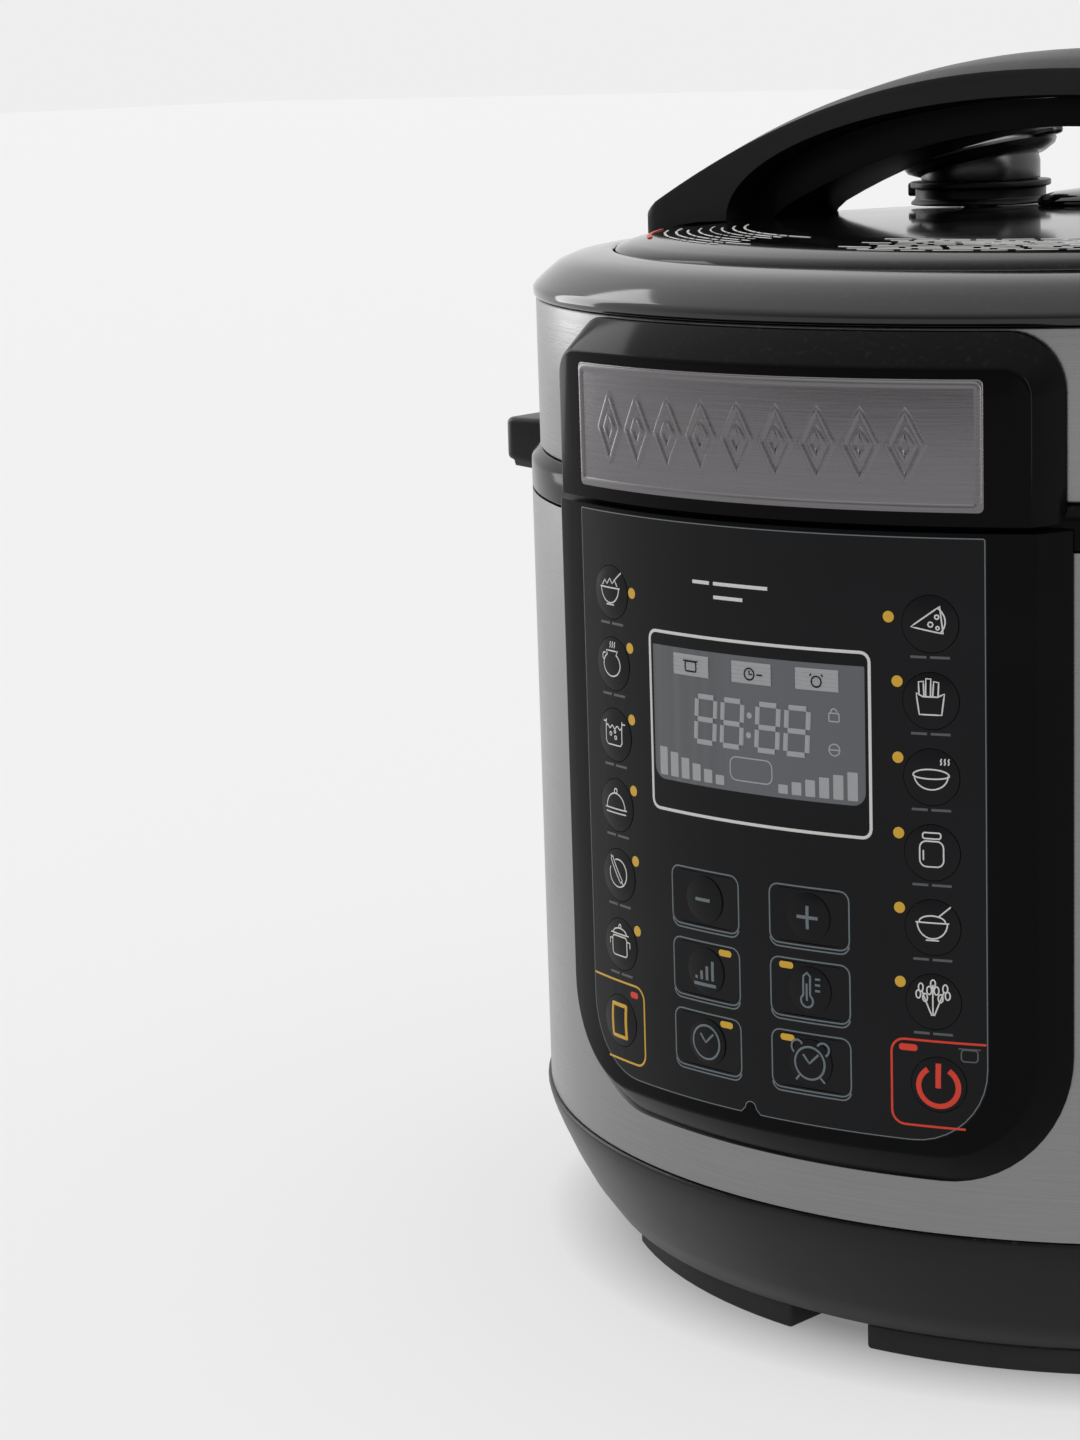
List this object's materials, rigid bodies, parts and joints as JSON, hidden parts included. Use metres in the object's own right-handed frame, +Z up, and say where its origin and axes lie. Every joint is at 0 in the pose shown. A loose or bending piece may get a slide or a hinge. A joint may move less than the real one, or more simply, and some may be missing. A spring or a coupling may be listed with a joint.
{
  "type": "electric pressure cooker",
  "caption": "Round countertop electric pressure cooker with bayonet lid, arched lid handle, steam valve, front control panel, side handles and removable inner pot.",
  "frame": {"origin": "on the pot axis, at the level of the feet", "axes": "+Z up along the pot axis; the control panel faces -Y; the side handles lie along X"},
  "size_m": [0.329, 0.2973, 0.2911],
  "materials": {
    "satin_plastic": "satin black moulded plastic",
    "gloss_black": "high-gloss black plastic",
    "brushed_shell": "fine horizontal brushing",
    "aluminium": "cast and spun, satin",
    "steel": "plain drawn steel",
    "pot_coating": "dark non-stick coating",
    "panel_film": "smooth black printed film",
    "display_lens": "clear window",
    "lcd": "grey reflective display",
    "button": "satin black with pale pictograms",
    "nameplate": "brushed, rolled bright edge",
    "silicone": "translucent pale silicone",
    "rubber": "matt black",
    "board": "green solder resist",
    "clear_plastic": "clear moulded plastic"
  },
  "bodies": {
    "base": {"base_housing": "satin_plastic", "foot_front_left": "rubber", "foot_front_right": "rubber", "foot_back_left": "rubber", "foot_back_right": "rubber", "outer_shell": "brushed_shell", "body_top_ring": "gloss_black", "side_handle_right": "satin_plastic", "side_handle_left": "satin_plastic", "outer_pot": "aluminium", "heating_plate": "aluminium", "temperature_sensor": "steel", "pressure_switch": "satin_plastic", "power_board": "board", "power_inlet": "satin_plastic", "condensate_bracket": "satin_plastic", "panel_bezel": "gloss_black", "panel_film": "panel_film", "display_lens": "display_lens", "lcd_module": "lcd", "control_board": "board"},
    "inner_pot": {"inner_pot": "pot_coating"},
    "seal": {"sealing_gasket": "silicone"},
    "lid": {"inner_lid": "aluminium", "lid_core": "satin_plastic", "lid_steel_band": "brushed_shell", "lid_outer_cover": "gloss_black", "lid_dome_plate": "gloss_black", "nameplate_bezel": "gloss_black", "nameplate": "nameplate", "lid_handle_cover": "satin_plastic", "lid_handle_base": "satin_plastic", "exhaust_pipe": "steel", "anti_block_shield": "steel", "steam_valve_collar": "satin_plastic", "float_valve_hood": "satin_plastic"},
    "steam_valve": {"steam_valve_cap": "satin_plastic"},
    "float_valve": {"float_valve_pin": "steel"},
    "condensate_cup": {"condensate_cup": "clear_plastic"},
    "programme_button_left_1": {"programme_button_left_1": "button"},
    "programme_button_right_1": {"programme_button_right_1": "button"},
    "programme_button_left_2": {"programme_button_left_2": "button"},
    "programme_button_right_2": {"programme_button_right_2": "button"},
    "programme_button_left_3": {"programme_button_left_3": "button"},
    "programme_button_right_3": {"programme_button_right_3": "button"},
    "programme_button_left_4": {"programme_button_left_4": "button"},
    "programme_button_right_4": {"programme_button_right_4": "button"},
    "programme_button_left_5": {"programme_button_left_5": "button"},
    "programme_button_right_5": {"programme_button_right_5": "button"},
    "programme_button_left_6": {"programme_button_left_6": "button"},
    "programme_button_right_6": {"programme_button_right_6": "button"},
    "cancel_button": {"cancel_button": "button"},
    "power_button": {"power_button": "button"},
    "minus_button": {"minus_button": "button"},
    "plus_button": {"plus_button": "button"},
    "pressure_button": {"pressure_button": "button"},
    "temperature_button": {"temperature_button": "button"},
    "clock_button": {"clock_button": "button"},
    "timer_button": {"timer_button": "button"}
  },
  "joints": [
    {"name": "pot_lift", "type": "slide", "parent": "base", "child": "inner_pot", "axis": [0, 0, 1], "range_m": [0, 0.16]},
    {"name": "lid_lift", "type": "slide", "parent": "inner_pot", "child": "seal", "axis": [0, 0, 1], "range_m": [0, 0.12]},
    {"name": "lid_turn", "type": "hinge", "parent": "seal", "child": "lid", "pos_m": [0, 0, 0.2], "axis": [0, 0, 1], "range_deg": [-30, 0]},
    {"name": "steam_valve_turn", "type": "hinge", "parent": "lid", "child": "steam_valve", "pos_m": [-0.063, 0.047, 0.26], "axis": [0, 0, 1], "range_deg": [0, 45]},
    {"name": "float_valve_rise", "type": "slide", "parent": "lid", "child": "float_valve", "axis": [0, 0, 1], "range_m": [0, 0.004]},
    {"name": "condensate_cup_pull", "type": "slide", "parent": "base", "child": "condensate_cup", "axis": [0, 1, 0], "range_m": [0, 0.03]},
    {"name": "programme_button_left_1_press", "type": "slide", "parent": "base", "child": "programme_button_left_1", "axis": [0.289, 0.9573, 0], "range_m": [0, 0.0005], "stiffness_N_per_m": 400},
    {"name": "programme_button_right_1_press", "type": "slide", "parent": "base", "child": "programme_button_right_1", "axis": [-0.289, 0.9573, 0], "range_m": [0, 0.0005], "stiffness_N_per_m": 400},
    {"name": "programme_button_left_2_press", "type": "slide", "parent": "base", "child": "programme_button_left_2", "axis": [0.289, 0.9573, 0], "range_m": [0, 0.0005], "stiffness_N_per_m": 400},
    {"name": "programme_button_right_2_press", "type": "slide", "parent": "base", "child": "programme_button_right_2", "axis": [-0.289, 0.9573, 0], "range_m": [0, 0.0005], "stiffness_N_per_m": 400},
    {"name": "programme_button_left_3_press", "type": "slide", "parent": "base", "child": "programme_button_left_3", "axis": [0.289, 0.9573, 0], "range_m": [0, 0.0005], "stiffness_N_per_m": 400},
    {"name": "programme_button_right_3_press", "type": "slide", "parent": "base", "child": "programme_button_right_3", "axis": [-0.289, 0.9573, 0], "range_m": [0, 0.0005], "stiffness_N_per_m": 400},
    {"name": "programme_button_left_4_press", "type": "slide", "parent": "base", "child": "programme_button_left_4", "axis": [0.289, 0.9573, 0], "range_m": [0, 0.0005], "stiffness_N_per_m": 400},
    {"name": "programme_button_right_4_press", "type": "slide", "parent": "base", "child": "programme_button_right_4", "axis": [-0.289, 0.9573, 0], "range_m": [0, 0.0005], "stiffness_N_per_m": 400},
    {"name": "programme_button_left_5_press", "type": "slide", "parent": "base", "child": "programme_button_left_5", "axis": [0.289, 0.9573, 0], "range_m": [0, 0.0005], "stiffness_N_per_m": 400},
    {"name": "programme_button_right_5_press", "type": "slide", "parent": "base", "child": "programme_button_right_5", "axis": [-0.289, 0.9573, 0], "range_m": [0, 0.0005], "stiffness_N_per_m": 400},
    {"name": "programme_button_left_6_press", "type": "slide", "parent": "base", "child": "programme_button_left_6", "axis": [0.289, 0.9573, 0], "range_m": [0, 0.0005], "stiffness_N_per_m": 400},
    {"name": "programme_button_right_6_press", "type": "slide", "parent": "base", "child": "programme_button_right_6", "axis": [-0.289, 0.9573, 0], "range_m": [0, 0.0005], "stiffness_N_per_m": 400},
    {"name": "cancel_button_press", "type": "slide", "parent": "base", "child": "cancel_button", "axis": [0.2957, 0.9553, 0], "range_m": [0, 0.0005], "stiffness_N_per_m": 400},
    {"name": "power_button_press", "type": "slide", "parent": "base", "child": "power_button", "axis": [-0.2957, 0.9553, 0], "range_m": [0, 0.0005], "stiffness_N_per_m": 400},
    {"name": "minus_button_press", "type": "slide", "parent": "base", "child": "minus_button", "axis": [0.0958, 0.9954, 0], "range_m": [0, 0.0005], "stiffness_N_per_m": 400},
    {"name": "plus_button_press", "type": "slide", "parent": "base", "child": "plus_button", "axis": [-0.0958, 0.9954, 0], "range_m": [0, 0.0005], "stiffness_N_per_m": 400},
    {"name": "pressure_button_press", "type": "slide", "parent": "base", "child": "pressure_button", "axis": [0.0958, 0.9954, 0], "range_m": [0, 0.0005], "stiffness_N_per_m": 400},
    {"name": "temperature_button_press", "type": "slide", "parent": "base", "child": "temperature_button", "axis": [-0.0958, 0.9954, 0], "range_m": [0, 0.0005], "stiffness_N_per_m": 400},
    {"name": "clock_button_press", "type": "slide", "parent": "base", "child": "clock_button", "axis": [0.0958, 0.9954, 0], "range_m": [0, 0.0005], "stiffness_N_per_m": 400},
    {"name": "timer_button_press", "type": "slide", "parent": "base", "child": "timer_button", "axis": [-0.0958, 0.9954, 0], "range_m": [0, 0.0005], "stiffness_N_per_m": 400}
  ]
}
